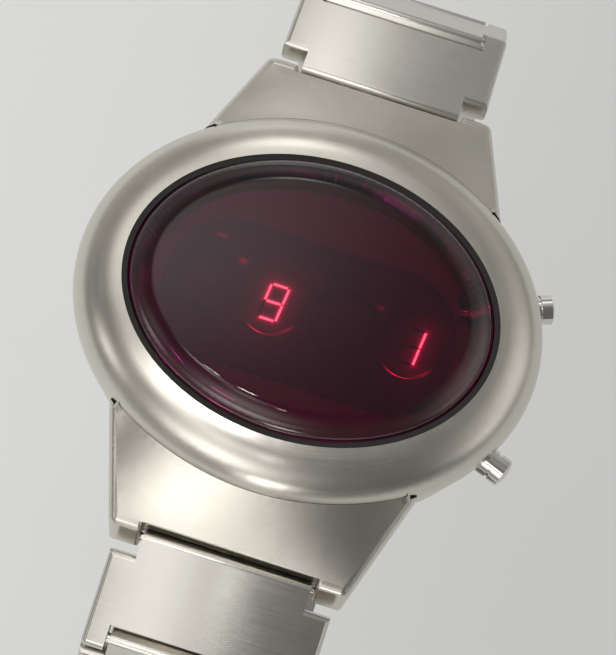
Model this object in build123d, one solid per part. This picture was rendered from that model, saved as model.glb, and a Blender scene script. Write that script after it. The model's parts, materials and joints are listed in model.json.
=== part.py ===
from build123d import *

import os
from math import cos, hypot, radians, sin, tan

# An LED wrist watch: an oval steel head with a red crystal, and a link bracelet closed as on a wrist.
# Millimetres. X points to 3 o'clock, Y to 12 o'clock, Z up out of the dial.
# The origin is the centre of the case back's outer face.

# Shared clearances
overrun = 2.0  # how far a cutting solid runs past the face it cuts
seat_gap = 0.05  # room round a piece that sits in a pocket
pin_slip = 0.01  # radial room of a pin in the arms that hold it
pin_play = 0.05  # radial room of a pin in the eye that turns on it

# Bezel, with its widths along X and Y
ring_width_x = 4.32  # window to the outer edge
ring_width_y = 4.68
bezel_overhang_x = 0.87  # beyond the barrel
bezel_overhang_y = 0.15
bezel_ledge = 1.15  # ledge that carries the crystal, inwards of the window
bezel_ledge_depth = 3.0  # rim down to the top of that ledge
# Outer surface from the window rim to the foot: shares of the ring's width and of its height
bezel_width_shares = (0.0, 0.23, 0.455, 0.615, 0.735, 0.84, 0.915, 0.957, 0.985, 1.0, 0.995)
bezel_drop_shares = (0.0, 0.03, 0.098, 0.174, 0.26, 0.37, 0.478, 0.587, 0.717, 0.87, 1.0)

# Crystal and its gasket
gasket_wall = 0.5
gasket_foot = 0.4  # thickness under the crystal
gasket_lip = 0.12  # the gasket's top below the rim
crystal_edge_rise = 0.2  # top of the crystal's wall above the rim
crystal_dome = 1.1  # crown above that wall
crystal_round = 0.9

# Case body
barrel_wall = 4.6
barrel_taper = 1.3  # how much the barrel draws in at its foot
barrel_taper_height = 2.0
barrel_foot = 0.5  # the back stands this far proud of the barrel
seat_wall = 0.87  # metal between a pusher's bore and the bezel's seat

# Lugs
lug_reach = 5.3  # bezel's edge to the pivot
lug_surface_drop = 5.4  # rim down to the lug's top face at the recess
lug_slope = 15.5  # degrees, along the flanks
lug_crown = 1.43  # how far the lug's middle stands over its flanks at the bezel's edge
lug_root_in = 6.35  # from the bezel's edge inwards
lug_splay = 18.0  # degrees between a flank and the middle line
lug_roll = 0.9
bar_depth = 3.2  # lug's top face at the recess down to the spring bar
bar_setback = 0.65  # recess wall to the spring bar
ear_round = 0.93  # radius of the ear's tip round the spring bar
ear_fall = 73.0  # degrees below the horizontal of the ear's end face
ear_tip_half = 10.85  # half width over the ears at the pivot
ear_inner_roll = 0.3

# Bracelet
bracelet_width = 20.0
link_pitch = 9.0
link_half = 1.1  # half thickness
link_edge = 0.6  # radius on the outer corners of a link's ends
link_roll = 0.45  # radius along a link's sides
arm_width = 2.05  # metal beside the next link's tongue
tongue_side_gap = 0.35
tongue_end_gap = 0.15
shoulder_gap = 0.2
shoulder_roll = 0.45
pin_radius = 0.5
pin_inset = 0.25
link_slopes = (14, 56, 84, 106, 128, 150)  # degrees below the horizontal, from the lug to the clasp
# The first link at each lug hangs on an eye under its front edge
end_eye_radius = 1.0
end_link_rise = 1.34  # middle of its thickness above that eye
end_link_pitch = 9.1
end_link_front = 0.65
end_link_shoulder = 1.66

# Spring bars at the lugs
bar_radius = 0.65
bar_tip_radius = 0.4
bar_tip_length = 1.3
bar_tip_depth = 1.4

# Case back, its gasket and screws
back_margin = 1.9  # the back's edge inside the barrel's
back_thickness = 1.0
back_gasket_thickness = 0.3
back_gasket_width = 1.1
screw_ring_share = 0.5  # between the cavity's and the back's edge
screw_angle = 40.0
screw_radius = 0.5
screw_room = 0.05  # radial room in the back
screw_head_radius = 0.95
screw_head_height = 0.45
screw_length = 2.4
screw_slot_width = 0.22
screw_slot_depth = 0.2

# Pushers
pusher_angle = 21.0
pusher_drop = 0.7  # axis below the board's underside
pusher_radius = 1.35
pusher_stands_out = 2.5
pusher_dome = 0.35
pusher_groove_at = 1.25  # from the case wall
pusher_groove_width = 0.28
pusher_groove_depth = 0.16
pusher_skirt = 0.95  # part of the cap inside the case wall at rest
pusher_travel = 0.8
pusher_bore_gap = 0.08
pusher_bore_depth = 2.6
stem_radius = 0.6
stem_end = 0.9  # from the clip to the stem's inner end
tube_radius = 1.0
tube_room = 0.05  # radial room of the stem
clip_radius = 1.15
clip_thickness = 0.25
clip_gap = 0.25
seal_wire = 0.2
seal_depth = 0.16
seal_at = 0.45  # from the cap's inner face
spring_wire_radius = 0.11
spring_coil_radius = 0.95
spring_turns = 3.5
leaf_width = 2.6
leaf_thickness = 0.15
leaf_gap = 0.05  # left between the stem and the leaf when the pusher is home

# Module
board_thickness = 0.6
board_gap_x = 1.0  # board's edge to the cavity's wall
board_gap_y = 0.8
board_past_plate = 1.3
board_past_cells = 2.65
board_past_chip = 0.8
board_past_quartz = 1.4
frame_gap = 0.15
frame_floor_gap = 0.1
cell_radius = 5.8
cell_thickness = 4.0
cell_spacing = 0.7  # between the two cells
cell_head_room = 0.6  # upper strip to the board
cell_crown_radius = 4.9
cell_crown = 0.3
strip_width = 3.6
strip_thickness = 0.15
strip_reach = 9.5
chip_width = 5.4
chip_length = 4.4
chip_thickness = 1.2
chip_spacing = 1.0  # from the cells' edge, along Y
quartz_radius = 1.0
quartz_length = 6.0
quartz_spacing = 2.8  # from the cells' edge, along Y
trimmer_radius = 1.3
trimmer_height = 1.3
trimmer_spacing = 1.3  # from the quartz
pocket_room = 0.2

# Display
plate_end = 0.76  # past the outer lenses
plate_round = 5.8
plate_straight = 1.6  # straight stretch between the rounds at each end
plate_thickness = 0.5
digit_count = 4
digit_height = 3.2
digit_width = 1.6
digit_lean = 5.5  # degrees
segment_width = 0.2
segment_gap = 0.07
segment_thickness = 0.06
lens_radius = 3.0
lens_spacing = 0.36
lens_wall = 0.28
lens_height = 0.9
lens_crown = 0.5
lens_room = 0.15  # over the segments
crystal_room = 1.1  # between the lenses and the crystal

# Clasp
sheet = 0.8
sheet_gap = 0.25
blade_half_width = 6.0
clasp_inset = 0.6  # the clasp's sides inside the bracelet's
clasp_flange = 1.1
clasp_flange_top = 0.5  # flange's top above the end pivots
eye_radius = 1.0
blade_pin_radius = 0.35
blade_eye_radius = 0.55
fold_eye_radius = 0.88
fold_eye_half = 2.5
fold_in = 3.3  # fold hinge's distance from the clasp's 6 o'clock end pivot
cover_in = 3.4  # cover hinge's distance from the clasp's 12 o'clock end pivot
cover_tail = 1.2
open_gap = 0.3  # room between the cover's nose and the bar of the open pivot
nose_thickness = 0.9
nose_top = 0.7
knuckle_gap = 0.15
cover_round = 0.6

# Module's stack, from the case back up to the window's rim
ledge_height = back_thickness + back_gasket_thickness
cell_low = back_thickness + frame_floor_gap + strip_thickness
cell_high = cell_low + cell_thickness
board_height = cell_high + strip_thickness + cell_head_room
board_top = board_height + board_thickness
plate_top = board_top + plate_thickness
crystal_low = plate_top + lens_height + lens_crown + crystal_room
rim_height = crystal_low - gasket_foot + bezel_ledge_depth
pusher_height = board_height - pusher_drop
seat_height = pusher_height + pusher_radius + pusher_bore_gap + seat_wall
bezel_height = rim_height - seat_height

# Module's layout, as half lengths and places along X and Y
digit_pitch = 2 * lens_radius + lens_spacing
plate_length = (digit_count - 1) * digit_pitch + 2 * (lens_radius + plate_end)
plate_width = 2 * plate_round + plate_straight
cell_x = cell_radius + cell_spacing / 2
chip_y = cell_radius + chip_spacing + chip_length / 2
quartz_y = cell_radius + quartz_spacing + quartz_radius
trimmer_x = quartz_length / 2 + trimmer_spacing + trimmer_radius
board_x = max(plate_length / 2 + board_past_plate, cell_x + cell_radius + board_past_cells)
board_y = max(chip_y + chip_length / 2 + board_past_chip, quartz_y + quartz_radius + board_past_quartz)

# Case, from the cavity outwards, as half lengths along X and Y
cavity_x = board_x + board_gap_x
cavity_y = board_y + board_gap_y
barrel_x = cavity_x + barrel_wall
barrel_y = cavity_y + barrel_wall
back_x = barrel_x - back_margin
back_y = barrel_y - back_margin
bezel_x = barrel_x + bezel_overhang_x
bezel_y = barrel_y + bezel_overhang_y
window_x = bezel_x - ring_width_x
window_y = bezel_y - ring_width_y
crystal_x = window_x - gasket_wall
crystal_y = window_y - gasket_wall

# Lugs and bracelet
lug_pivot_y = bezel_y + lug_reach
lug_recess_y = lug_pivot_y - bar_setback
lug_recess_z = rim_height - lug_surface_drop
lug_pivot_z = lug_recess_z - bar_depth
lug_root_y = bezel_y - lug_root_in
lug_root_half = ear_tip_half + (lug_pivot_y - lug_root_y) * tan(radians(lug_splay))
bracelet_half = bracelet_width / 2
recess_half = bracelet_half - arm_width
tongue_half = recess_half - tongue_side_gap
clasp_half_width = bracelet_half - clasp_inset
screw_hole_radius = screw_radius + screw_room
tube_inner_radius = stem_radius + tube_room


def oval(half_x, half_y, low, high):
    """A flat-ended oval prism from one height to another."""
    return extrude(Plane.XY.offset(low) * Ellipse(half_x, half_y), high - low)


def oval_loft(sections):
    """A smooth body through ovals, each given as half lengths and height."""
    return loft([Plane.XY.offset(z) * Ellipse(a, b) for a, b, z in sections])


def block(x_low, x_high, y_low, y_high, z_low, z_high):
    """A box from its limits."""
    size = (x_high - x_low, y_high - y_low, z_high - z_low)
    return Pos(x_low, y_low, z_low) * Box(*size, align=(Align.MIN, Align.MIN, Align.MIN))


def rod(radius, x_low, x_high, y=0.0, z=0.0):
    """A cylinder along X."""
    return extrude(Plane.YZ.offset(x_low) * Pos(y, z) * Circle(radius), x_high - x_low)


def profile_prism(outline, half_width):
    """A closed outline in Y and Z, drawn out along X to both sides."""
    return extrude(Plane.YZ * outline, half_width, both=True)


def at_pusher(side, piece):
    """Turns a piece drawn along +X, at height zero, to a pusher's place: side is +1 above, -1 below."""
    return Rot(0, 0, side * pusher_angle) * Pos(0, 0, pusher_height) * piece


def oval_reach(half_x, half_y):
    """Distance from the centre to an oval's edge along a pusher's axis."""
    angle = radians(pusher_angle)
    return 1 / hypot(cos(angle) / half_x, sin(angle) / half_y)


case_wall = oval_reach(barrel_x, barrel_y)
cavity_wall = oval_reach(cavity_x, cavity_y)
bore_floor = case_wall - pusher_bore_depth
cap_foot = case_wall - pusher_skirt
clip_low = cavity_wall - clip_gap - clip_thickness
stem_reach = clip_low - stem_end


# Head
def bezel():
    """Domed ring with a soft ridge, its ledge under the crystal, and a flat foot."""
    wide_x, wide_y = bezel_x - window_x, bezel_y - window_y
    sections = [
        (window_x + wide_x * out, window_y + wide_y * out, rim_height - bezel_height * down)
        for out, down in zip(bezel_width_shares, bezel_drop_shares)
    ]
    ledge_top = rim_height - bezel_ledge_depth
    ring = oval_loft(sections[::-1])
    ring -= oval(window_x, window_y, ledge_top, rim_height + overrun)
    through = (window_x - bezel_ledge, window_y - bezel_ledge)
    return ring - oval(*through, seat_height - overrun, rim_height)


def crystal_gasket():
    """L-shaped ring: a wall beside the crystal and a foot under it."""
    low = rim_height - bezel_ledge_depth
    ring = oval(window_x, window_y, low, rim_height - gasket_lip)
    ring -= oval(crystal_x, crystal_y, low + gasket_foot, rim_height)
    inner = window_x - bezel_ledge, window_y - bezel_ledge
    return ring - oval(*inner, low - overrun, rim_height)


def crystal():
    """Oval crystal with a low crown and a rounded edge."""
    edge = rim_height + crystal_edge_rise
    radius = (crystal_x**2 + crystal_dome**2) / (2 * crystal_dome)
    crown = Pos(0, 0, edge + crystal_dome - radius) * Rot(90, 0, 0) * Sphere(radius)
    body = oval(crystal_x, crystal_y, crystal_low, edge + crystal_dome) & crown
    rim = [e for e in body.edges() if (e @ 0.5).Z > rim_height]
    return fillet(rim, crystal_round)


def nearest_corner(outline, point):
    """The outline's corner that lies nearest to a point."""
    return outline.vertices().sort_by(lambda corner: hypot(corner.X - point.X, corner.Y - point.Y))[0]


def lug_profile(rounded):
    """What holds the 12 o'clock lug in side view: a level foot and the ear's steep end face."""
    slope, fall = radians(lug_slope), radians(ear_fall)
    foot, top = lug_pivot_z - ear_round, rim_height + overrun
    touch_y, touch_z = lug_pivot_y + ear_round * sin(fall), lug_pivot_z + ear_round * cos(fall)
    tip = touch_y + (touch_z - foot) / tan(fall)
    high = touch_y - (top - touch_z) / tan(fall)
    outline = Polygon((lug_root_y, foot), (lug_root_y, top), (high, top), (tip, foot), align=None)
    return fillet(nearest_corner(outline, Vector(tip, foot)), ear_round) if rounded else outline


def lug_section(y, crown):
    """The lug cut across at one distance: upright flanks and an arched top over a level foot."""
    half = ear_tip_half + (lug_pivot_y - y) * tan(radians(lug_splay))
    foot, edge = lug_pivot_z - ear_round, lug_recess_z + (lug_recess_y - y) * tan(radians(lug_slope))
    sides = Polyline((half, edge), (half, foot), (-half, foot), (-half, edge))
    flat_top = Line(sides @ 1, sides @ 0)
    top = ThreePointArc(sides @ 1, (0, edge + crown), sides @ 0) if crown else flat_top
    return Plane.XZ.offset(-y) * make_face(Curve() + [sides, top])


def wall_edge_cut():
    """Outline of what is cut off to roll the top edge of the recess's wall."""
    corner = Pos(lug_recess_y, lug_recess_z)
    rise = overrun * (tan(radians(lug_slope)) + lug_crown / (lug_recess_y - bezel_y))
    corners = [(0, 0), (0, -overrun), (-overrun, -overrun), (-overrun, rise)]
    inside = corner * Polygon(*corners, align=None)
    rolled = fillet(nearest_corner(inside, Vector(lug_recess_y, lug_recess_z)), ear_inner_roll)
    return corner * Rectangle(2 * ear_inner_roll, 2 * ear_inner_roll) - rolled


def lug():
    """The 12 o'clock lug: crowned, rolled over its flanks and ends, with a recess between two ears."""
    reach = lug_root_half + overrun
    root_crown = lug_crown * (lug_recess_y - lug_root_y) / (lug_recess_y - bezel_y)
    stations = [(lug_pivot_y + overrun, 0), (lug_recess_y, 0), (lug_root_y, root_crown)]
    body = loft([lug_section(y, crown) for y, crown in stations], ruled=True).clean()
    body &= profile_prism(lug_profile(False), reach)
    rolled = [
        edge
        for edge in body.edges()
        if (edge @ 0.5).Y > lug_root_y + seat_gap
        and (edge @ 0.5).Z > lug_pivot_z + ear_round / 2
        and abs((edge @ 0.5).Y - lug_recess_y) > seat_gap
    ]
    body = fillet(rolled, lug_roll)
    body &= profile_prism(lug_profile(True), reach)
    body -= block(-recess_half, recess_half, lug_recess_y, lug_pivot_y + overrun, 0, rim_height)
    body -= rod(end_eye_radius + tongue_end_gap, -recess_half, recess_half, lug_pivot_y, lug_pivot_z)
    for side in (1, -1):
        near, far = sorted((side * (recess_half - overrun), side * (recess_half + bar_tip_depth)))
        body -= rod(bar_tip_radius + pin_play, near, far, lug_pivot_y, lug_pivot_z)
    rims = [
        edge
        for edge in body.edges()
        if abs(abs((edge @ 0.5).X) - recess_half) < pin_slip
        and (edge @ 0.5).Y > lug_recess_y + pin_slip
        and (edge @ 0.5).Z > lug_pivot_z + ear_round
    ]
    return fillet(rims, ear_inner_roll) - profile_prism(wall_edge_cut(), recess_half)


def screw_places():
    """Centres of the four case-back screws."""
    half_x = cavity_x + (back_x - cavity_x) * screw_ring_share
    half_y = cavity_y + (back_y - cavity_y) * screw_ring_share
    angle = radians(screw_angle)
    x, y = half_x * cos(angle), half_y * sin(angle)
    return [(x, y), (-x, y), (-x, -y), (x, -y)]


def case_body():
    """Barrel and both lugs in one piece, bored for the module, the back and the pushers."""
    taper_top = barrel_foot + barrel_taper_height
    foot_x, foot_y = barrel_x - barrel_taper, barrel_y - barrel_taper
    barrel = oval_loft([(foot_x, foot_y, barrel_foot), (barrel_x, barrel_y, taper_top)])
    barrel += oval(barrel_x, barrel_y, taper_top, seat_height)
    upper = lug()
    body = barrel + upper + Rot(0, 0, 180) * upper
    body -= oval(bezel_x + seat_gap, bezel_y + seat_gap, seat_height, rim_height + overrun)
    body -= oval(cavity_x, cavity_y, 0, seat_height + overrun)
    body -= oval(back_x + seat_gap, back_y + seat_gap, -overrun, ledge_height)
    for side in (1, -1):
        wall = rod(pusher_radius + pusher_bore_gap, bore_floor, case_wall + overrun)
        wall += rod(tube_radius, cavity_wall - overrun, bore_floor + overrun / 2)
        body -= at_pusher(side, wall)
    deep = ledge_height + screw_length
    for x, y in screw_places():
        body -= Pos(x, y, 0) * extrude(Circle(screw_radius), deep)
    return body


def case_back():
    """Flat oval back with countersunk screw holes."""
    plate = oval(back_x, back_y, 0, back_thickness)
    for x, y in screw_places():
        hole = extrude(Circle(screw_hole_radius), back_thickness)
        sink = Cone(
            screw_head_radius + seat_gap,
            screw_hole_radius,
            screw_head_height,
            align=(Align.CENTER, Align.CENTER, Align.MIN),
        )
        plate -= Pos(x, y, 0) * (hole + sink)
    return plate


def case_back_gasket():
    """Flat ring between the back and the case's ledge, inside the screws."""
    outer = cavity_x + back_gasket_width / 2, cavity_y + back_gasket_width / 2
    inner = cavity_x - back_gasket_width / 2 + seat_gap, cavity_y - back_gasket_width / 2 + seat_gap
    ring = oval(*outer, back_thickness, ledge_height)
    return ring - oval(*inner, back_thickness - overrun, ledge_height + overrun)


def case_back_screws():
    """Four slotted countersunk screws."""
    head = Cone(
        screw_head_radius,
        screw_radius - pin_slip,
        screw_head_height,
        align=(Align.CENTER, Align.CENTER, Align.MIN),
    )
    screw = head + extrude(Circle(screw_radius - pin_slip), screw_length + screw_head_height)
    wide = screw_head_radius + overrun
    half = screw_slot_width / 2
    screw -= block(-wide, wide, -half, half, -overrun, screw_slot_depth)
    return Compound([Pos(x, y, 0) * Rot(0, 0, screw_angle) * screw for x, y in screw_places()])


# Pushers
def pusher():
    """Grooved and domed cap with its stem, turned about the pusher's axis."""
    outer = case_wall + pusher_stands_out
    radius, neck = pusher_radius, stem_radius - seal_depth
    seal_middle = cap_foot + seal_at
    seal_half = seal_wire + pin_slip
    bed = radius + pusher_bore_gap - 2 * (seal_wire + pin_slip)
    clip_high = clip_low + clip_thickness
    groove_low = case_wall + pusher_groove_at
    groove_high = groove_low + pusher_groove_width
    side = [
        (stem_reach, 0),
        (stem_reach, stem_radius),
        (clip_low, stem_radius),
        (clip_low, neck),
        (clip_high, neck),
        (clip_high, stem_radius),
        (cap_foot, stem_radius),
        (cap_foot, radius),
        (seal_middle - seal_half, radius),
        (seal_middle - seal_half, bed),
        (seal_middle + seal_half, bed),
        (seal_middle + seal_half, radius),
        (groove_low, radius),
        (groove_low, radius - pusher_groove_depth),
        (groove_high, radius - pusher_groove_depth),
        (groove_high, radius),
        (outer, radius),
    ]
    tip = (outer + pusher_dome, 0)
    crown = TangentArc(tip, side[-1], tangent=(0, 1))
    half = make_face(Curve() + [Polyline(*side), crown, Line(tip, side[0])])
    return revolve(half, Axis.X)


def pusher_clip():
    """Retaining ring in the stem's groove, inside the case wall."""
    ring = rod(clip_radius, clip_low, clip_low + clip_thickness)
    neck = stem_radius - seal_depth
    ring -= rod(neck, clip_low - overrun, clip_low + overrun)
    return ring - block(clip_low - overrun, clip_low + overrun, -neck, neck, 0, clip_radius + overrun)


def pusher_seal():
    """Round rubber ring in the cap's groove."""
    middle_radius = pusher_radius + pusher_bore_gap - pin_slip - seal_wire
    return Pos(cap_foot + seal_at, 0, 0) * Rot(0, 90, 0) * Torus(middle_radius, seal_wire)


def pusher_tube():
    """Guide tube pressed into the case wall."""
    tube = rod(tube_radius, cavity_wall, bore_floor)
    return tube - rod(tube_inner_radius, cavity_wall - overrun, bore_floor + overrun)


def pusher_spring():
    """Coil spring between the bore's floor and the cap."""
    low = bore_floor + spring_wire_radius + pin_play
    high = cap_foot - spring_wire_radius - pin_play
    path = Helix((high - low) / spring_turns, high - low, spring_coil_radius)
    wire = sweep(Plane(path @ 0, z_dir=path % 0) * Circle(spring_wire_radius), path)
    return Pos(low, 0, 0) * Rot(0, 90, 0) * wire


def switch_contacts():
    """Two leaf contacts on the board, one in front of each stem."""
    face = stem_reach - pusher_travel - leaf_gap
    low = -pusher_height + board_height - board_thickness - leaf_width
    high = board_height - pusher_height
    leaf = block(face - leaf_thickness, face, -leaf_width / 2, leaf_width / 2, low, high)
    return Compound([at_pusher(side, leaf) for side in (1, -1)])


# Module
def chip_block(room):
    """The driver chip's body under the board, with room round it."""
    wide, long = chip_width / 2 + room, chip_length / 2 + room
    low = board_height - chip_thickness - room
    return block(-wide, wide, chip_y - long, chip_y + long, low, board_height)


def quartz_body(room):
    """The quartz can's body under the board, with room round it."""
    radius = quartz_radius + room
    half = quartz_length / 2 + room
    return rod(radius, -half, half, -quartz_y, board_height - quartz_radius)


def trimmer_body(room):
    """The trimmer's body under the board, with room round it."""
    low = board_height - trimmer_height - room
    disc = extrude(Circle(trimmer_radius + room), trimmer_height + room)
    return Pos(trimmer_x, -quartz_y, low) * disc


def battery_cells():
    """Two button cells, each a wide can with a smaller crown on its underside."""
    cell = extrude(Circle(cell_radius), cell_thickness)
    cell -= extrude(Circle(cell_radius) - Circle(cell_crown_radius), cell_crown)
    return Compound([Pos(side * cell_x, 0, cell_low) * cell for side in (1, -1)])


def battery_strips():
    """Contact strips under and over the cells."""
    half = strip_width / 2
    under = block(-strip_reach, strip_reach, -half, half, cell_low - strip_thickness, cell_low)
    over = block(-strip_reach, strip_reach, -half, half, cell_high, cell_high + strip_thickness)
    return Compound([under, over])


def module_frame():
    """Moulded holder round the cells, chip, quartz and contacts, standing on the back."""
    half_x, half_y = cavity_x - frame_gap, cavity_y - frame_gap
    step_x, step_y = half_x - back_gasket_width / 2, half_y - back_gasket_width / 2
    body = oval(half_x, half_y, ledge_height + seat_gap, board_height)
    body += oval(step_x, step_y, back_thickness, ledge_height + seat_gap)
    for side in (1, -1):
        pocket = extrude(Circle(cell_radius + pocket_room), board_height - back_thickness + overrun)
        body -= Pos(side * cell_x, 0, back_thickness - overrun / 2) * pocket
        out = pusher_travel + leaf_gap + leaf_thickness + pocket_room
        wide = leaf_width / 2 + pocket_room
        low = board_height - board_thickness - leaf_width - pocket_room - pusher_height
        body -= at_pusher(side, block(stem_reach - out, cavity_wall + overrun, -wide, wide, low, overrun))
    half = strip_width / 2 + pocket_room
    body -= block(-cell_x, cell_x, -half, half, 0, board_height + overrun)
    for room_body in (chip_block(pocket_room), quartz_body(pocket_room), trimmer_body(pocket_room)):
        body -= room_body
    return body


def circuit_board():
    """Oval board that closes the module's top, notched over each pusher's clip."""
    board = oval(board_x, board_y, board_height, board_top)
    wide = clip_radius + pocket_room
    for side in (1, -1):
        notch = block(clip_low - pusher_travel - pocket_room, cavity_wall, -wide, wide, 0, overrun)
        board -= at_pusher(side, notch)
    return board


def display_plate():
    """Dark plate with round ends that carries the digits."""
    plate = RectangleRounded(plate_length, plate_width, plate_round)
    return extrude(Plane.XY.offset(board_top) * plate, plate_thickness)


def digit_places():
    """Centres of the digits along X."""
    middle = (digit_count - 1) / 2
    return [(number - middle) * digit_pitch for number in range(digit_count)]


def segments(names):
    """The named bars of one seven-segment digit, leaning to the right."""
    half_w, half_h = digit_width / 2, digit_height / 2
    long_bar, tall_bar = digit_width - 2 * segment_gap, half_h - 2 * segment_gap
    level = {"a": half_h, "g": 0.0, "d": -half_h}
    upright = {"b": (1, 1), "c": (1, -1), "e": (-1, -1), "f": (-1, 1)}
    bars = []
    for name in names:
        if name in level:
            x, y, turn = 0, level[name], 0
            size = (long_bar - segment_width, segment_width)
        else:
            to_x, to_y = upright[name]
            x, y, turn = to_x * half_w, to_y * half_h / 2, -digit_lean
            size = (segment_width, tall_bar)
        lean = y * tan(radians(digit_lean))
        bar = Pos(x + lean, y) * Rot(0, 0, turn) * Rectangle(*size)
        bars.append(extrude(bar, segment_thickness))
    return bars


lit_segments = {1: "abcdfg", 3: "bc"}
all_segments = "abcdefg"


def display_segments(lit):
    """Every glowing bar of the display, or every dark one."""
    bars = []
    for number, x in enumerate(digit_places()):
        on = lit_segments.get(number, "")
        names = [name for name in all_segments if (name in on) == lit]
        bars += [Pos(x, 0, plate_top) * bar for bar in segments(names)]
    return Compound(bars)


def digit_lenses():
    """Four round lenses, hollow over the digits."""
    dome_radius = (lens_radius**2 + lens_crown**2) / (2 * lens_crown)
    inner = lens_radius - lens_wall
    body = extrude(Circle(lens_radius), lens_height + lens_crown)
    body &= Pos(0, 0, lens_height + lens_crown - dome_radius) * Sphere(dome_radius)
    body -= extrude(Circle(inner), segment_thickness + lens_room)
    return Compound([Pos(x, 0, plate_top) * body for x in digit_places()])


def driver_chip():
    """Square driver chip under the board."""
    return chip_block(0)


def quartz_can():
    """Quartz crystal's can, lying under the board."""
    return quartz_body(0)


def trimmer():
    """Round trimmer capacitor with an adjusting slot."""
    wide = trimmer_radius + overrun
    half = screw_slot_width / 2
    low = board_height - trimmer_height
    slot = block(-wide, wide, -half, half, low - overrun, low + screw_slot_depth)
    return trimmer_body(0) - Pos(trimmer_x, -quartz_y, 0) * slot


def spring_bars():
    """A bar with thinner tips at each lug."""
    bar = rod(bar_radius, -tongue_half, tongue_half)
    bar += rod(bar_tip_radius, -recess_half - bar_tip_length, recess_half + bar_tip_length)
    return Compound([Pos(0, side * lug_pivot_y, lug_pivot_z) * bar for side in (1, -1)])


# Bracelet links, drawn with the front pivot at the origin and the rear one behind it along Y
def shoulder_cut(shoulder, high):
    """Outline of what is cut away beside a tongue, which leaves the shoulders' upper edge rolled."""
    length = shoulder + link_half + overrun
    height = 2 * (high + overrun)
    outline = Pos(shoulder - length / 2, 0) * Rectangle(length, height)
    spandrel = Pos(shoulder, high - shoulder_roll)
    spandrel *= Rectangle(shoulder_roll, shoulder_roll + overrun, align=(Align.MIN, Align.MIN))
    return outline + (spandrel - Pos(shoulder + shoulder_roll, high - shoulder_roll) * Circle(shoulder_roll))


def link_slab(rise, pitch, front, shoulder, front_fall):
    """One link without its bores: a tongue in front, shoulders beside it, and two arms behind."""
    length = front + pitch + link_half
    outline = Pos(length / 2 - front, rise) * Rectangle(length, 2 * link_half)
    corners = outline.vertices().sort_by(Axis.X)
    front_low, front_high = corners[:2].sort_by(Axis.Y)
    rear_low, rear_high = corners[2:].sort_by(Axis.Y)
    outline = fillet([front_high, rear_high], link_edge)
    outline = fillet(nearest_corner(outline, rear_low), link_half)
    if front_fall:
        outline = fillet(nearest_corner(outline, front_low), link_half)
    body = profile_prism(outline, bracelet_half)
    sides = body.faces().sort_by(Axis.X)
    body = fillet(sides[0].edges() + sides[-1].edges(), link_roll)
    width = bracelet_half + overrun - tongue_half
    cut = extrude(Plane.YZ.offset(tongue_half) * shoulder_cut(shoulder, rise + link_half), width)
    body = body - cut - mirror(cut, about=Plane.YZ)
    recess = pitch - link_half - tongue_end_gap
    top = rise + link_half + overrun
    body -= block(-recess_half, recess_half, recess, pitch + link_half + overrun, -overrun, top)
    return body - rod(pin_radius + pin_slip, -bracelet_half - overrun, bracelet_half + overrun, pitch, rise)


def link():
    """A link of the chain, hung on a pin at the middle of its thickness."""
    body = link_slab(0, link_pitch, link_half, link_half + shoulder_gap, True)
    return body - rod(pin_radius + pin_play, -bracelet_half, bracelet_half)


def end_link():
    """The first link at a lug, hung on the spring bar by an eye under its front edge."""
    body = link_slab(end_link_rise, end_link_pitch, end_link_front, end_link_shoulder, False)
    body += rod(end_eye_radius, -tongue_half, tongue_half)
    return body - rod(bar_radius + pin_play, -bracelet_half, bracelet_half)


def link_pin(rise, pitch):
    """Straight pin at a link's rear pivot."""
    half = bracelet_half - pin_inset
    return rod(pin_radius, -half, half, pitch, rise)


def chain_places():
    """Front pivot and slope of each link on the 12 o'clock side, then the clasp's pivot."""
    y, z = lug_pivot_y, lug_pivot_z
    rise, pitch = end_link_rise, end_link_pitch
    places = []
    for slope in link_slopes:
        places.append((y, z, slope))
        y += pitch * cos(radians(slope)) + rise * sin(radians(slope))
        z += rise * cos(radians(slope)) - pitch * sin(radians(slope))
        rise, pitch = 0, link_pitch
    return places, (y, z)


places, (clasp_y, clasp_z) = chain_places()
cover_hinge_y = clasp_y - cover_in
fold_hinge_y = fold_in - clasp_y
middle_level = clasp_z - sheet / 2 + pin_play
inner_low = middle_level + sheet / 2 + sheet_gap
inner_high = inner_low + sheet
cover_high = middle_level - sheet / 2 - sheet_gap
cover_low = cover_high - sheet
fold_z = (inner_high + middle_level - sheet / 2) / 2


# Clasp
def clasp_inner_blade():
    """Blade next to the wrist: an eye at the 12 o'clock end, two fold knuckles at the other."""
    edge = blade_half_width
    clear = fold_eye_radius + knuckle_gap
    body = block(-edge, edge, fold_hinge_y + clear, clasp_y, inner_low, inner_high)
    body += rod(eye_radius, -tongue_half, tongue_half, clasp_y, clasp_z)
    for side in (1, -1):
        near, far = sorted((side * (fold_eye_half + knuckle_gap), side * edge))
        body += rod(fold_eye_radius, near, far, fold_hinge_y, fold_z)
        body += block(near, far, fold_hinge_y, fold_hinge_y + clear, inner_low, inner_high)
    body -= rod(pin_radius + pin_play, -bracelet_half, bracelet_half, clasp_y, clasp_z)
    return body - rod(blade_pin_radius + pin_slip, -bracelet_half, bracelet_half, fold_hinge_y, fold_z)


def clasp_middle_blade():
    """Middle blade: one fold knuckle at the 6 o'clock end, the cover's eye at the other."""
    edge = blade_half_width
    clear = fold_eye_radius + knuckle_gap
    low, high = middle_level - sheet / 2, middle_level + sheet / 2
    body = block(-edge, edge, fold_hinge_y + clear, cover_hinge_y, low, high)
    body += rod(blade_eye_radius, -edge, edge, cover_hinge_y, middle_level)
    body += rod(fold_eye_radius, -fold_eye_half, fold_eye_half, fold_hinge_y, fold_z)
    body += block(-fold_eye_half, fold_eye_half, fold_hinge_y, fold_hinge_y + clear, low, high)
    body -= rod(blade_pin_radius + pin_play, -bracelet_half, bracelet_half, fold_hinge_y, fold_z)
    return body - rod(blade_pin_radius + pin_play, -bracelet_half, bracelet_half, cover_hinge_y, middle_level)


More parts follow.
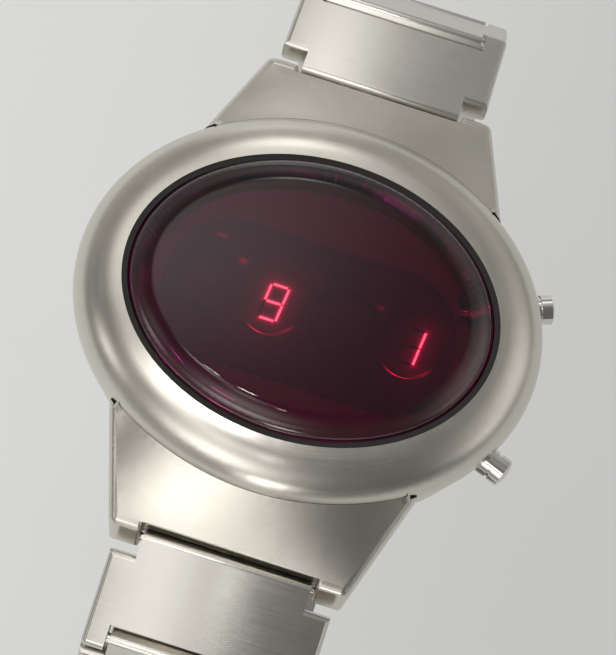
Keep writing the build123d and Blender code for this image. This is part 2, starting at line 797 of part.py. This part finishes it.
def clasp_cover():
    """Outer cover: a plate with two flanges, and a nose that stops at the last link's bar."""
    wide, inner = clasp_half_width, clasp_half_width - clasp_flange
    nose_y = pin_radius + open_gap - clasp_y
    end_y = link_half + shoulder_gap - clasp_y
    tail_y = cover_hinge_y + cover_tail
    top = clasp_z + clasp_flange_top
    body = block(-wide, wide, end_y, tail_y, cover_low, top)
    body = fillet(body.edges().filter_by(Axis.Y).group_by(Axis.Z)[0], cover_round)
    body -= block(-inner, inner, end_y - overrun, tail_y + overrun, cover_high, top + overrun)
    nose_z = clasp_z + nose_top
    body += block(-tongue_half, tongue_half, nose_y, nose_y + nose_thickness, cover_low, nose_z)
    body += block(-tongue_half, tongue_half, nose_y, end_y + nose_thickness, cover_low, cover_high)
    hole = rod(blade_pin_radius + pin_slip, -wide - overrun, wide + overrun, cover_hinge_y, middle_level)
    return body - hole


def clasp_fold_pin():
    """Pin through the fold knuckles."""
    return rod(blade_pin_radius, -blade_half_width, blade_half_width, fold_hinge_y, fold_z)


def clasp_cover_pin():
    """Pin between the cover's flanges."""
    return rod(blade_pin_radius, -clasp_half_width, clasp_half_width, cover_hinge_y, middle_level)


def bracelet():
    """Every link and pin on both sides, placed along the closed loop."""
    pieces = {}
    first = end_link(), link_pin(end_link_rise, end_link_pitch)
    others = link(), link_pin(0, link_pitch)
    for number, (y, z, slope) in enumerate(places, 1):
        place = Pos(0, y, z) * Rot(-slope, 0, 0)
        shape, pin = first if number == 1 else others
        for side, turn in (("12h", 0), ("6h", 180)):
            pieces[f"link_{side}_{number}"] = Rot(0, 0, turn) * place * shape
            pieces[f"pin_{side}_{number}"] = Rot(0, 0, turn) * place * pin
    return pieces


def build():
    """Every piece under its node's name."""
    pieces = {
        "case_body": case_body(),
        "bezel": bezel(),
        "crystal": crystal(),
        "crystal_gasket": crystal_gasket(),
        "case_back": case_back(),
        "case_back_gasket": case_back_gasket(),
        "case_back_screws": case_back_screws(),
        "module_frame": module_frame(),
        "circuit_board": circuit_board(),
        "display_plate": display_plate(),
        "digit_lenses": digit_lenses(),
        "digits_lit": display_segments(True),
        "digits_dark": display_segments(False),
        "driver_chip": driver_chip(),
        "quartz_can": quartz_can(),
        "trimmer": trimmer(),
        "battery_cells": battery_cells(),
        "battery_strips": battery_strips(),
        "switch_contacts": switch_contacts(),
        "spring_bars": spring_bars(),
        "clasp_inner_blade": clasp_inner_blade(),
        "clasp_middle_blade": clasp_middle_blade(),
        "clasp_cover": clasp_cover(),
        "clasp_fold_pin": clasp_fold_pin(),
        "clasp_cover_pin": clasp_cover_pin(),
    }
    tubes = []
    for name, side in (("upper", 1), ("lower", -1)):
        pieces[f"pusher_{name}"] = at_pusher(side, pusher())
        pieces[f"pusher_{name}_clip"] = at_pusher(side, pusher_clip())
        pieces[f"pusher_{name}_seal"] = at_pusher(side, pusher_seal())
        pieces[f"pusher_{name}_spring"] = at_pusher(side, pusher_spring())
        tubes.append(at_pusher(side, pusher_tube()))
    pieces["pusher_tubes"] = Compound(tubes)
    pieces.update(bracelet())
    return pieces


os.makedirs("parts", exist_ok=True)
for name, piece in build().items():
    export_step(piece, f"parts/{name}.step")
print("lug pivot", lug_pivot_y, lug_pivot_z, "clasp pivot", clasp_y, clasp_z)
print("fold hinge", fold_hinge_y, fold_z, "cover hinge", cover_hinge_y, middle_level)
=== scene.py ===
"""The looks of an LED wrist watch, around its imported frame.

Metres, +X to 3 o'clock, +Y to 12 o'clock, +Z up out of the dial."""

import json
from math import cos, pi, radians, sin, tan

import bpy
from mathutils import Matrix, Vector
from mathutils.bvhtree import BVHTree

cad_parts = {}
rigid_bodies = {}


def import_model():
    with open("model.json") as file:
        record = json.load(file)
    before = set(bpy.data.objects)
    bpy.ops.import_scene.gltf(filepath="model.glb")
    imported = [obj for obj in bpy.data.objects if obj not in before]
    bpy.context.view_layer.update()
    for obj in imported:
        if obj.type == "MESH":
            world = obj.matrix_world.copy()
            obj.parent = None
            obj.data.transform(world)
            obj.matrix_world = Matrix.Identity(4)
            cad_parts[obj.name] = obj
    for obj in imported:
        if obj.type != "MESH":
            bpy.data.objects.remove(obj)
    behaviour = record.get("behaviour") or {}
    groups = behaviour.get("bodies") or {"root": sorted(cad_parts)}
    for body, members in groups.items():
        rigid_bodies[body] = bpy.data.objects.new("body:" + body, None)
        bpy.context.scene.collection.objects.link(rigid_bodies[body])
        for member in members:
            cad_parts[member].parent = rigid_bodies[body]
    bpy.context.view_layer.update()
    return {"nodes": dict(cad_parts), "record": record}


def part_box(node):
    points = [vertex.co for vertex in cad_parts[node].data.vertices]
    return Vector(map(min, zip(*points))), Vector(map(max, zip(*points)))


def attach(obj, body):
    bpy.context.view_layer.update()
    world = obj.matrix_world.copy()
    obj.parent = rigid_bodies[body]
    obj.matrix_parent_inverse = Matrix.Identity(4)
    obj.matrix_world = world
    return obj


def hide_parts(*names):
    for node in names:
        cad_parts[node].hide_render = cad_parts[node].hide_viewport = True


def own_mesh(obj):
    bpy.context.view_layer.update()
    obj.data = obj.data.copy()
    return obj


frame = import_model()
mm = 0.001

# Sizes of the head, as on the solids
rim_height = 12.2 * mm
bezel_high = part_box("bezel")[1]
crystal_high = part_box("crystal")[1]
lens_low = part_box("digit_lenses")[0]

# Floor, under the clasp where it hangs lowest, with its cover open. Its glow fades from left to right.
floor_height = -112 * mm
floor_half = 9.0
floor_glow_half = 80 * mm
floor_glow_left = 1.3
floor_glow_right = 0.93
floor_glow_share = 0.55

# Seams between the bezel and the lugs: how far past the bezel's edge a strip starts, a point farther out
# that gives its slope, the least height of a lug there, how far the strip goes into the bezel, how high
# it lies over the lug, and where the bezel's wall is looked for
seam_body = "case"
seam_steps = 240
seam_near, seam_far = 0.3 * mm, 0.7 * mm
seam_floor = 7.0 * mm
seam_overlap = 0.03 * mm
seam_lift = 0.004 * mm
seam_probe_out = 1.0 * mm
seam_probe_up = 0.1 * mm

# Crystal: width of the band that falls off along its edge, its slope past the crease, the width of that
# crease, what the slope gains half way, and the share of the band over which it gains
crystal_band = 2.3 * mm
crystal_crease = 0.13
crystal_crease_width = 0.3 * mm
crystal_fall = 0.24
crystal_fall_share = 0.87

# Brushed steel: noise scale across the brushing, scale of its broad patches, and height of its grain in mm
brush_scale = 8200
patch_scale = 170
grain_height = 0.0006

# Display
lens_radius = 3.0 * mm
digit_pitch = 6.36 * mm
digit_height = 3.2 * mm
digit_width = 1.6 * mm
digit_lean = radians(5.5)
digit_x = [(number - 1.5) * digit_pitch for number in range(4)]
lit_segments = {1: "abcdfg", 3: "bc"}
bar_half = 0.1 * mm
bar_gap = 0.07 * mm
# Painted crimson glow on the plate round the glowing bars, in place of the light they throw: its reach and
# strength, close by and farther off
near_glow_reach, near_glow = 0.12 * mm, 1.0
far_glow_reach, far_glow = 0.9 * mm, 0.16
# Painted highlight, an arc of light at a lens's foot: how far in from its edge, half width, shift to the
# left, heights over the foot between which it fades, and strength
arc_inset, arc_half, arc_shift = 0.08 * mm, 0.06 * mm, 0.25 * mm
arc_foot_low, arc_foot_high = 0.12 * mm, 0.3 * mm
painted_arc_glow = 2.8
# Painted red reflections on the plate, as centre and half widths in millimetres, and strength
painted_red_reflections = [(-9.4, 4.6, 0.45, 0.14, 0.35), (-6.9, 2.9, 0.4, 0.25, 0.3), (6.0, 2.6, 0.35, 0.2, 0.2)]

# Camera, from the fit to the photo's window, bezel and lug corners
photo_width, photo_height = 616, 655
focal_pixels = 2000
sensor = 36.0
camera_tilt, camera_pan, camera_roll = radians(-16.6), radians(-1.1), radians(-17.7)
camera_shift = Vector((0.31, 2.56, 0)) * mm
camera_distance = 173.02 * mm

# Light: an even room, and soft lights as direction, sharpness and strength
room_light = 0.13
soft_lights = [
    ((-0.2, -0.71, 0.67), 35, 2.25),
    ((-0.27, -0.14, 0.95), 220, 3.6),
    ((-0.16, 0.71, 0.68), 220, 3),
    ((0.04, -0.97, 0.23), 220, 5.469),
    ((-0.27, 0.96, 0.09), 35, 0.683),
    ((0.8, 0.24, 0.56), 12, 0.725),
    ((-0.22, 0.36, 0.91), 30, 0.85),
    ((-0.14, -0.35, 0.92), 220, 1.75),
    ((-0.82, 0.56, 0.05), 4, 0.304),
    ((-0.75, -0.37, 0.55), 90, 1.358),
    ((0.37, 0.87, 0.34), 12, 0.28),
    ((0.89, -0.21, 0.41), 35, 0.55),
    ((-0.53, -0.85, 0), 4, 0.216),
    ((-0.08, 0.66, 0.74), 60, 0.45),
    ((-0.38, 0.25, 0.89), 60, 0.45),
]
# Small round lamps close by, as direction and strength
glint_lights = [
    ((-0.21, -0.01, 0.978), 0.006),
    ((-0.102, -0.045, 0.994), 0.009),
    ((0.008, -0.474, 0.881), 0.0012),
]
glint_distance = 150 * mm
glint_size = 9 * mm


def add_camera():
    """Camera at the photo's angle and distance."""
    turn = (
        Matrix.Rotation(camera_roll, 3, "Z")
        @ Matrix.Rotation(camera_pan, 3, "Y")
        @ Matrix.Rotation(camera_tilt, 3, "X")
    )
    back = turn.transposed()
    place = Vector((0, 0, rim_height)) + back @ Vector((-camera_shift.x, -camera_shift.y, camera_distance))
    data = bpy.data.cameras.new("camera")
    data.sensor_width = sensor
    data.lens = sensor * focal_pixels / max(photo_width, photo_height)
    data.clip_start = 5 * mm
    data.clip_end = 10
    camera = bpy.data.objects.new("camera", data)
    camera.matrix_world = Matrix.Translation(place) @ back.to_4x4()
    bpy.context.scene.collection.objects.link(camera)
    bpy.context.scene.camera = camera


class Nodes:
    """A node tree, with short calls for the nodes that are used here."""

    def __init__(self, tree):
        self.tree = tree
        self.tree.nodes.clear()

    def node(self, kind, **settings):
        made = self.tree.nodes.new(kind)
        for key, value in settings.items():
            setattr(made, key, value)
        return made

    def put(self, socket, value):
        """Links an output to a socket, or sets a plain value on it."""
        if isinstance(value, bpy.types.NodeSocket):
            self.tree.links.new(value, socket)
        else:
            socket.default_value = value

    def math(self, operation, *values, clamp=False):
        made = self.node("ShaderNodeMath", operation=operation, use_clamp=clamp)
        for socket, value in zip(made.inputs, values):
            self.put(socket, value)
        return made.outputs[0]

    def vector(self, operation, *values):
        made = self.node("ShaderNodeVectorMath", operation=operation)
        for socket, value in zip(made.inputs, values):
            self.put(socket, value)
        return made.outputs[0]

    def parts(self, vector):
        made = self.node("ShaderNodeSeparateXYZ")
        self.put(made.inputs[0], vector)
        return made.outputs

    def join(self, x, y, z):
        made = self.node("ShaderNodeCombineXYZ")
        for socket, value in zip(made.inputs, (x, y, z)):
            self.put(socket, value)
        return made.outputs[0]

    def noise(self, vector, detail=3.0, roughness=0.6):
        made = self.node("ShaderNodeTexNoise")
        self.put(made.inputs["Vector"], vector)
        made.inputs["Scale"].default_value = 1.0
        made.inputs["Detail"].default_value = detail
        made.inputs["Roughness"].default_value = roughness
        return made.outputs["Fac"]

    def ramp(self, value, low, high, to_low=0.0, to_high=1.0, smooth=True):
        made = self.node("ShaderNodeMapRange", interpolation_type="SMOOTHSTEP" if smooth else "LINEAR")
        for socket, given in zip(made.inputs, (value, low, high, to_low, to_high)):
            self.put(socket, given)
        return made.outputs[0]

    def mix(self, share, first, second):
        made = self.node("ShaderNodeMix", data_type="RGBA")
        self.put(made.inputs[0], share)
        self.put(made.inputs[6], first)
        self.put(made.inputs[7], second)
        return made.outputs[2]

    def total(self, values):
        """Sum of several values."""
        result = values[0]
        for value in values[1:]:
            result = self.math("ADD", result, value)
        return result

    def hypot(self, *values):
        return self.math("SQRT", self.total([self.math("MULTIPLY", value, value) for value in values]))


class Shading(Nodes):
    """A material and its node tree."""

    def __init__(self, name):
        self.material = bpy.data.materials.new(name)
        self.material.use_nodes = True
        super().__init__(self.material.node_tree)
        self.output = self.tree.nodes.new("ShaderNodeOutputMaterial")
        self.shader = self.tree.nodes.new("ShaderNodeBsdfPrincipled")
        self.tree.links.new(self.shader.outputs[0], self.output.inputs[0])
        self.place = self.node("ShaderNodeTexCoord").outputs["Object"]

    def set(self, **values):
        """Sets the shader's sockets: underscores stand for spaces in their names."""
        for key, value in values.items():
            self.put(self.shader.inputs[key.replace("_", " ")], value)

    def bump(self, height, distance, strength=1.0):
        made = self.node("ShaderNodeBump")
        made.inputs["Distance"].default_value = distance
        made.inputs["Strength"].default_value = strength
        self.put(made.inputs["Height"], height)
        self.put(self.shader.inputs["Normal"], made.outputs[0])


def colour(red, green, blue):
    return (red, green, blue, 1.0)


def satin(name, tint, grain, roughness, crown=0.0, streak=0.05, patches=0.05, stretch=0.55):
    """Brushed steel: grain gives its coordinate, stretched along the brushing, and the tangent.

    The crown is how far, in mm, its highlights fall off at 10 mm from the middle line."""
    look = Shading(name)
    vector, side = grain(look)
    fine = look.noise(vector, detail=4.0, roughness=0.65)
    broad = look.noise(look.vector("MULTIPLY", look.place, (patch_scale,) * 3), detail=3.0)
    tone = look.ramp(fine, 0.25, 0.75, 1 - streak, 1.0, smooth=False)
    tone = look.math("MULTIPLY", tone, look.ramp(broad, 0.3, 0.7, 1 - patches, 1.0))
    dark = colour(0, 0, 0)
    look.set(Base_Color=look.mix(tone, dark, colour(*tint)), Metallic=1.0)
    rough = look.ramp(fine, 0.25, 0.75, roughness - 0.03, roughness + 0.03, smooth=False)
    look.set(Roughness=look.math("ADD", rough, look.ramp(broad, 0.3, 0.7, -0.015, 0.02)))
    look.set(Anisotropic=stretch, Tangent=side)
    x = look.math("MULTIPLY", look.parts(look.place)[0], 100.0)
    fall = look.math("MULTIPLY", look.math("MULTIPLY", x, x), -crown)
    look.bump(look.math("ADD", look.math("MULTIPLY", fine, grain_height), fall), mm)
    return look.material


def across(look):
    """Brushing along X: its highlights stretch along Y and Z."""
    look.set(Anisotropic_Rotation=0.25)
    return look.vector("MULTIPLY", look.place, (110, brush_scale, brush_scale)), look.join(1.0, 0.0, 0.0)


def lengthways(look):
    """Brushing along the bracelet: its highlights stretch along X."""
    return look.vector("MULTIPLY", look.place, (brush_scale, 180, 180)), look.join(1.0, 0.0, 0.0)


def oval_reach(look, half_x, half_y):
    """How far out a point lies in an oval, 0 at the centre and 1 at the edge, its shares of it, and its Z."""
    x, y, z = look.parts(look.place)
    along_x, along_y = look.math("DIVIDE", x, half_x), look.math("DIVIDE", y, half_y)
    return look.hypot(along_x, along_y), along_x, along_y, z


def round_ring(look):
    """Brushing round the oval: a point's direction from the centre barely counts, its distance does."""
    half_x, half_y = bezel_high.x, bezel_high.y
    reach, along_x, along_y, z = oval_reach(look, half_x, half_y)
    turn_x = look.math("MULTIPLY", look.math("DIVIDE", along_x, reach), 2.6)
    turn_y = look.math("MULTIPLY", look.math("DIVIDE", along_y, reach), 2.6)
    out = look.math("ADD", look.math("MULTIPLY", reach, 150.0), look.math("MULTIPLY", z, 2400.0))
    outward = look.join(look.math("DIVIDE", along_x, half_x), look.math("DIVIDE", along_y, half_y), 0.0)
    return look.join(turn_x, turn_y, out), look.vector("NORMALIZE", outward)


def polished(name, tint, roughness):
    """Bright worn metal with a faint haze."""
    look = Shading(name)
    haze = look.noise(look.vector("MULTIPLY", look.place, (900, 900, 900)), detail=4.0)
    look.set(Base_Color=look.mix(haze, colour(*[0.9 * t for t in tint]), colour(*tint)), Metallic=1.0)
    look.set(Roughness=look.ramp(haze, 0.3, 0.7, roughness * 0.7, roughness * 1.5))
    look.bump(haze, 0.002 * mm)
    return look.material


def moulded(name, tint, roughness, grain=2500):
    """Plastic, rubber or laminate with a fine grain."""
    look = Shading(name)
    speck = look.noise(look.vector("MULTIPLY", look.place, (grain, grain, grain)), detail=4.0)
    low, high = [colour(*[share * part for part in tint]) for share in (0.7, 1.3)]
    look.set(Base_Color=look.mix(speck, low, high))
    look.set(Roughness=look.ramp(speck, 0.3, 0.7, roughness - 0.08, roughness + 0.08))
    look.bump(speck, 0.01 * mm)
    return look.material


def crystal_glass():
    """Dark red filter glass, whose crown falls off more steeply in a band along its edge."""
    look = Shading("crystal_red")
    half_x, half_y = crystal_high.x, crystal_high.y
    reach, along_x, along_y, z = oval_reach(look, half_x, half_y)
    slope = look.hypot(look.math("DIVIDE", along_x, half_x), look.math("DIVIDE", along_y, half_y))
    inside = look.math("DIVIDE", look.math("MULTIPLY", look.math("SUBTRACT", 1.0, reach), reach), slope)
    past = look.math("MAXIMUM", look.math("SUBTRACT", crystal_band, inside), 0.0)
    soft = look.math("EXPONENT", look.math("DIVIDE", past, -crystal_crease_width))
    soft = look.math("MULTIPLY", look.math("SUBTRACT", soft, 1.0), crystal_crease_width)
    crease = look.math("MULTIPLY", look.math("ADD", past, soft), -crystal_crease)
    share = look.math("MINIMUM", look.math("DIVIDE", past, crystal_fall_share * crystal_band), 1.0)
    half_turn = look.math("MULTIPLY", share, pi)
    drop = look.math("SUBTRACT", look.math("COSINE", half_turn), 1.0)
    drop = look.math("MULTIPLY", drop, crystal_fall * crystal_fall_share * crystal_band / pi)
    drop = look.math("ADD", crease, drop)
    smear = look.noise(look.vector("MULTIPLY", look.place, (220, 220, 220)), detail=4.0)
    look.set(Base_Color=colour(0.5, 0.012, 0.22), Transmission_Weight=1.0, Coat_Weight=1.0, Coat_IOR=1.5)
    look.set(IOR=look.ramp(inside, 0.4 * crystal_band, 0.8 * crystal_band, 1.5, 1.06))
    look.set(Roughness=look.ramp(smear, 0.35, 0.75, 0.0, 0.03), Coat_Roughness=0.01)
    look.bump(look.math("MULTIPLY", drop, 1000.0), mm)
    look.put(look.shader.inputs["Coat Normal"], look.shader.inputs["Normal"].links[0].from_socket)
    return look.material


def segment_boxes(names):
    """Centre, half size and turn of each named bar of a digit, from the digit's centre."""
    half_w, half_h = digit_width / 2, digit_height / 2
    level = {"a": half_h, "g": 0, "d": -half_h}
    upright = {"b": (1, 1), "c": (1, -1), "e": (-1, -1), "f": (-1, 1)}
    boxes = []
    for name in names:
        if name in level:
            y = level[name]
            boxes.append((y * tan(digit_lean), y, half_w - bar_gap - bar_half, bar_half, 0))
        else:
            to_x, to_y = upright[name]
            y = to_y * half_h / 2
            x = to_x * half_w + y * tan(digit_lean)
            boxes.append((x, y, bar_half, half_h / 2 - bar_gap, digit_lean))
    return boxes


def painted_glow_field(look, reach):
    """Painted glow, standing in for the light that the glowing bars throw on what lies round them."""
    x, y, z = look.parts(look.place)
    total = None
    for number, names in lit_segments.items():
        for centre_x, centre_y, half_x, half_y, lean in segment_boxes(names):
            off_x = look.math("SUBTRACT", x, digit_x[number] + centre_x)
            off_y = look.math("SUBTRACT", y, centre_y)
            if lean:
                off_x = look.math("SUBTRACT", off_x, look.math("MULTIPLY", off_y, tan(lean)))
            past_x = look.math("MAXIMUM", look.math("SUBTRACT", look.math("ABSOLUTE", off_x), half_x), 0)
            past_y = look.math("MAXIMUM", look.math("SUBTRACT", look.math("ABSOLUTE", off_y), half_y), 0)
            light = look.math("EXPONENT", look.math("DIVIDE", look.hypot(past_x, past_y), -reach))
            total = light if total is None else look.math("MAXIMUM", total, light)
    return total


def glints(look):
    """Small faint painted red reflections on the plate, beside the lit digits."""
    x, y, z = look.parts(look.place)
    spots = []
    for at_x, at_y, wide, high, strength in painted_red_reflections:
        off_x = look.math("DIVIDE", look.math("SUBTRACT", x, at_x * mm), wide * mm)
        off_y = look.math("DIVIDE", look.math("SUBTRACT", y, at_y * mm), high * mm)
        square = look.math("ADD", look.math("MULTIPLY", off_x, off_x), look.math("MULTIPLY", off_y, off_y))
        fall = look.math("EXPONENT", look.math("MULTIPLY", square, -1.0))
        spots.append(look.math("MULTIPLY", fall, strength))
    return look.total(spots)


def display_black():
    """Dark plate, with a painted crimson glow round the glowing bars and painted red reflections beside them.
    """
    look = Shading("display_dark")
    speck = look.noise(look.vector("MULTIPLY", look.place, (3000, 3000, 3000)), detail=4.0)
    look.set(Base_Color=look.mix(speck, colour(0.006, 0.005, 0.006), colour(0.02, 0.017, 0.02)))
    look.set(Roughness=0.35, Emission_Color=colour(1.0, 0.01, 0.16))
    # The plate's emission is painted light: a glow round the lit bars, and red reflections beside them
    near = look.math("MULTIPLY", painted_glow_field(look, near_glow_reach), near_glow)
    far = look.math("MULTIPLY", painted_glow_field(look, far_glow_reach), far_glow)
    look.set(Emission_Strength=look.total([near, far, glints(look)]))
    look.bump(speck, 0.004 * mm)
    return look.material


def lens_clear():
    """Clear moulded lens with a painted crimson highlight along its lower rim, by each lit digit."""
    look = Shading("lens_clear")
    x, y, z = look.parts(look.place)
    total = None
    for number in lit_segments:
        off_x = look.math("SUBTRACT", x, digit_x[number] - arc_shift)
        reach = look.hypot(off_x, y)
        band = look.math("DIVIDE", look.math("SUBTRACT", reach, lens_radius - arc_inset), arc_half)
        ring = look.math("EXPONENT", look.math("MULTIPLY", look.math("MULTIPLY", band, band), -1.0))
        side = look.math("DIVIDE", off_x, reach)
        fall = look.math("EXPONENT", look.math("MULTIPLY", look.math("MULTIPLY", side, side), -3.2))
        low = look.ramp(y, -1.2 * mm, -1.8 * mm, 0.0, 1.0)
        foot = look.ramp(z, lens_low.z + arc_foot_low, lens_low.z + arc_foot_high, 1.0, 0.0)
        low = look.math("MULTIPLY", low, foot)
        light = look.math("MULTIPLY", look.math("MULTIPLY", ring, fall), low)
        total = light if total is None else look.math("ADD", total, light)
    haze = look.noise(look.vector("MULTIPLY", look.place, (1500, 1500, 1500)))
    look.set(Base_Color=colour(1.0, 0.9, 0.92), Transmission_Weight=1.0, IOR=1.15)
    look.set(Roughness=look.ramp(haze, 0.3, 0.7, 0.02, 0.08))
    look.set(Emission_Color=colour(1.0, 0.02, 0.14))
    # The arc's emission is a painted highlight, standing in for a lit digit's light caught by the rim
    look.set(Emission_Strength=look.math("MULTIPLY", total, painted_arc_glow))
    return look.material


def glowing():
    """Lit die: its core burns out to pink behind the red crystal."""
    look = Shading("led_lit")
    grain = look.noise(look.vector("MULTIPLY", look.place, (4000, 4000, 4000)), detail=2.0)
    look.set(Base_Color=colour(0.3, 0.02, 0.05), Emission_Color=colour(0.24, 1.0, 0.11))
    look.set(Emission_Strength=look.ramp(grain, 0.2, 0.8, 11.0, 16.0))
    return look.material


steel = (0.73, 0.695, 0.625)
looks = {
    "case_steel": satin("case_steel", steel, across, 0.25, crown=0.1),
    "bezel_steel": satin("bezel_steel", steel, round_ring, 0.24),
    "link_steel": satin("link_steel", (0.72, 0.695, 0.64), across, 0.24, crown=0.55),
    "clasp_steel": satin("clasp_steel", (0.68, 0.67, 0.65), lengthways, 0.25),
    "back_steel": satin("back_steel", (0.68, 0.67, 0.65), across, 0.27),
    "polished_steel": polished("polished_steel", (0.74, 0.73, 0.7), 0.1),
    "pusher_steel": polished("pusher_steel", (0.76, 0.74, 0.7), 0.09),
    "crystal_red": crystal_glass(),
    "gasket_rubber": moulded("gasket_rubber", (0.022, 0.019, 0.019), 0.65, grain=6000),
    "module_plastic": moulded("module_plastic", (0.17, 0.05, 0.09), 0.5),
    "board_laminate": moulded("board_laminate", (0.2, 0.05, 0.1), 0.5),
    "display_dark": display_black(),
    "lens_clear": lens_clear(),
    "led_lit": glowing(),
    "led_dark": moulded("led_dark", (0.03, 0.01, 0.014), 0.3),
    "chip_black": moulded("chip_black", (0.02, 0.02, 0.02), 0.5),
    "board_brass": polished("board_brass", (0.75, 0.56, 0.27), 0.22),
}


def dress_nodes():
    """Gives each node of the frame the look of its material slot."""
    for row in frame["record"]["subparts"]:
        node = frame["nodes"][row["node"]]
        node.data.materials.clear()
        node.data.materials.append(looks[row["material_slot"]])


def add_seams():
    """Narrow strips that carry each lug's top face on up to the bezel, over the gap between the two."""
    scene_now = bpy.context.evaluated_depsgraph_get()
    metal = BVHTree.FromObject(frame["nodes"]["case_body"], scene_now)
    ring = BVHTree.FromObject(frame["nodes"]["bezel"], scene_now)
    down = Vector((0, 0, -1))
    for name, start in (("seam_12h", 0), ("seam_6h", pi)):
        rows = []
        for step in range(seam_steps + 1):
            turn = start + pi * step / seam_steps
            edge = Vector((bezel_high.x * cos(turn), bezel_high.y * sin(turn), 0))
            out = Vector((edge.x / bezel_high.x ** 2, edge.y / bezel_high.y ** 2, 0)).normalized()
            above = edge + Vector((0, 0, rim_height))
            near = metal.ray_cast(above + out * seam_near, down)[0]
            far = metal.ray_cast(above + out * seam_far, down)[0]
            if near is None or far is None or min(near.z, far.z) < seam_floor:
                continue
            rise = (near.z - far.z) / (seam_far - seam_near)
            wall = ring.ray_cast(near + out * seam_probe_out + Vector((0, 0, seam_probe_up)), -out)[0]
            if wall is None:
                continue
            inner = wall - out * seam_overlap
            inner.z = near.z + rise * (near - wall).length
            lift = Vector((0, 0, seam_lift))
            rows.append((inner + lift, near + lift))
        mesh = bpy.data.meshes.new(name)
        corners = [corner for row in rows for corner in row]
        faces = [(2 * n + 1, 2 * n + 3, 2 * n + 2, 2 * n) for n in range(len(rows) - 1)]
        mesh.from_pydata(corners, [], faces)
        mesh.polygons.foreach_set("use_smooth", [True] * len(faces))
        mesh.materials.append(looks["case_steel"])
        strip = bpy.data.objects.new(name, mesh)
        bpy.context.scene.collection.objects.link(strip)
        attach(strip, seam_body)


def add_springs():
    """Copies of the pusher springs, each hung on its joint's parent body, in place of the springs of the
    frame, which are hidden.
    """
    for joint in frame["record"]["behaviour"]["joints"]:
        for row in joint.get("deforming_nodes", []):
            source = frame["nodes"][row["node"]]
            spring = bpy.data.objects.new(row["node"] + "_coil", source.data.copy())
            spring.matrix_world = source.matrix_world
            bpy.context.scene.collection.objects.link(spring)
            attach(spring, joint["parent"])
            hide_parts(row["node"])
            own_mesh(spring)


def add_floor():
    """Pale floor, which glows faintly for the camera and for reflections."""
    look = Shading("floor_pale")
    speck = look.noise(look.vector("MULTIPLY", look.place, (60, 60, 60)), detail=3.0)
    look.set(Base_Color=look.mix(speck, colour(0.74, 0.74, 0.72), colour(0.78, 0.78, 0.76)), Roughness=0.9)
    path = look.node("ShaderNodeLightPath").outputs
    seen = look.math("MAXIMUM", path["Is Camera Ray"], path["Is Glossy Ray"])
    seen = look.math("MAXIMUM", seen, path["Is Transmission Ray"])
    glow = look.node("ShaderNodeEmission")
    glow.inputs["Color"].default_value = colour(0.72, 0.725, 0.72)
    x = look.parts(look.place)[0]
    strength = look.ramp(x, -floor_glow_half, floor_glow_half, floor_glow_left, floor_glow_right)
    look.put(glow.inputs["Strength"], strength)
    blend = look.node("ShaderNodeMixShader")
    look.put(blend.inputs[0], look.math("MULTIPLY", seen, floor_glow_share))
    look.put(blend.inputs[1], look.shader.outputs[0])
    look.put(blend.inputs[2], glow.outputs[0])
    look.put(look.output.inputs[0], blend.outputs[0])
    mesh = bpy.data.meshes.new("floor")
    corners = [(x * floor_half, y * floor_half, 0) for x, y in ((-1, -1), (1, -1), (1, 1), (-1, 1))]
    mesh.from_pydata(corners, [], [(0, 1, 2, 3)])
    mesh.materials.append(look.material)
    floor = bpy.data.objects.new("floor", mesh)
    floor.location.z = floor_height
    bpy.context.scene.collection.objects.link(floor)


def add_light():
    """Soft studio: a pale room with several broad soft lights in it."""
    world = bpy.data.worlds.new("studio")
    world.use_nodes = True
    bpy.context.scene.world = world
    studio = Nodes(world.node_tree)
    output = studio.node("ShaderNodeOutputWorld")
    room = studio.node("ShaderNodeBackground")
    towards = studio.vector("NORMALIZE", studio.node("ShaderNodeTexCoord").outputs["Generated"])
    lights = [room_light]
    for direction, sharpness, strength in soft_lights:
        off = studio.node("ShaderNodeVectorMath", operation="DOT_PRODUCT")
        studio.put(off.inputs[0], towards)
        off.inputs[1].default_value = Vector(direction).normalized()
        fall = studio.math("MULTIPLY", studio.math("SUBTRACT", off.outputs["Value"], 1.0), sharpness)
        lights.append(studio.math("MULTIPLY", studio.math("EXPONENT", fall), strength))
    studio.put(room.inputs["Strength"], studio.total(lights[1:] + lights[:1]))
    room.inputs["Color"].default_value = colour(1.0, 0.99, 0.97)
    studio.put(output.inputs[0], room.outputs[0])


def add_glint_light(number, towards, strength):
    """Small round lamp that only shows as a glint in polished faces."""
    data = bpy.data.lights.new("glint_light_%d" % number, "AREA")
    data.shape = "DISK"
    data.size = glint_size
    data.energy = strength
    lamp = bpy.data.objects.new(data.name, data)
    direction = Vector(towards).normalized()
    lamp.location = Vector((0, 0, rim_height)) + direction * glint_distance
    lamp.rotation_euler = direction.to_track_quat("Z", "Y").to_euler()
    bpy.context.scene.collection.objects.link(lamp)


add_camera()
dress_nodes()
add_seams()
add_springs()
add_floor()
add_light()
for number, (towards, strength) in enumerate(glint_lights):
    add_glint_light(number, towards, strength)
bpy.context.scene.view_settings.view_transform = "Standard"
